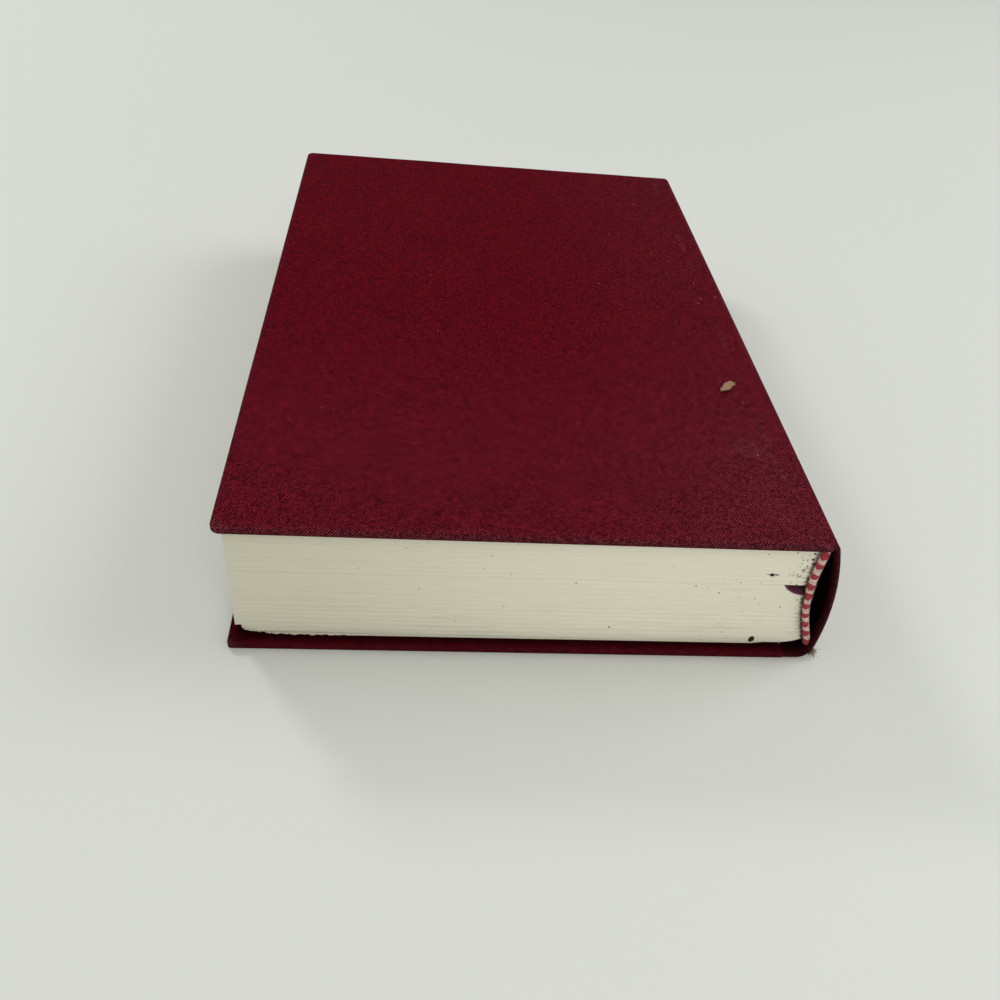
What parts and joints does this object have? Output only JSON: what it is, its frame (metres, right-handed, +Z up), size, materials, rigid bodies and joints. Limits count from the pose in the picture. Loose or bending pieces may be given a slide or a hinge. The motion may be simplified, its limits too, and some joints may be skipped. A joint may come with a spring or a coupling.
{
  "type": "hardback book",
  "caption": "Cloth-covered hardback book with a hollow back, sewn pages, striped head and tail bands, a ribbon marker and covers that open.",
  "frame": {"origin": "middle of the closed book's footprint on the table, with the book lying on its back cover", "axes": "+X from the fore-edge to the spine, +Y from the head to the tail, +Z up through the front cover"},
  "size_m": [0.1572, 0.222, 0.0433],
  "materials": {
    "book_cloth": "plain-woven book cloth, burgundy",
    "grey_board": "pressed grey board",
    "mull": "open starched gauze",
    "endpaper": "uncoated cream paper",
    "page_paper": "uncoated cream book paper, cut edges",
    "ribbon_satin": "satin ribbon, dark burgundy",
    "lining_paper": "brown kraft paper",
    "band_tape": "woven cotton tape",
    "band_cord": "twisted cotton cord",
    "red_thread": "wound red thread",
    "white_thread": "wound white thread",
    "inlay_card": "pressed manila card"
  },
  "bodies": {
    "book_block": {"text_block": "page_paper", "front_flyleaf": "endpaper", "back_flyleaf": "endpaper", "ribbon_marker": "ribbon_satin", "spine_mull": "mull", "spine_lining": "lining_paper", "head_band_tape": "band_tape", "head_band_cord": "band_cord", "head_band_red_thread": "red_thread", "head_band_white_thread": "white_thread", "tail_band_tape": "band_tape", "tail_band_cord": "band_cord", "tail_band_red_thread": "red_thread", "tail_band_white_thread": "white_thread", "spine_inlay": "inlay_card", "spine_cloth": "book_cloth"},
    "front_cover": {"front_cover_cloth": "book_cloth", "front_board": "grey_board", "front_mull_wing": "mull", "front_pastedown": "endpaper"},
    "back_cover": {"back_cover_cloth": "book_cloth", "back_board": "grey_board", "back_mull_wing": "mull", "back_pastedown": "endpaper"}
  },
  "joints": [
    {"name": "front_cover_hinge", "type": "hinge", "parent": "book_block", "child": "front_cover", "pos_m": [0.07043, 0, 0.0433], "axis": [0, 1, 0], "range_deg": [0, 180]},
    {"name": "back_cover_hinge", "type": "hinge", "parent": "book_block", "child": "back_cover", "pos_m": [0.07043, 0, 0], "axis": [0, -1, 0], "range_deg": [0, 180]}
  ]
}
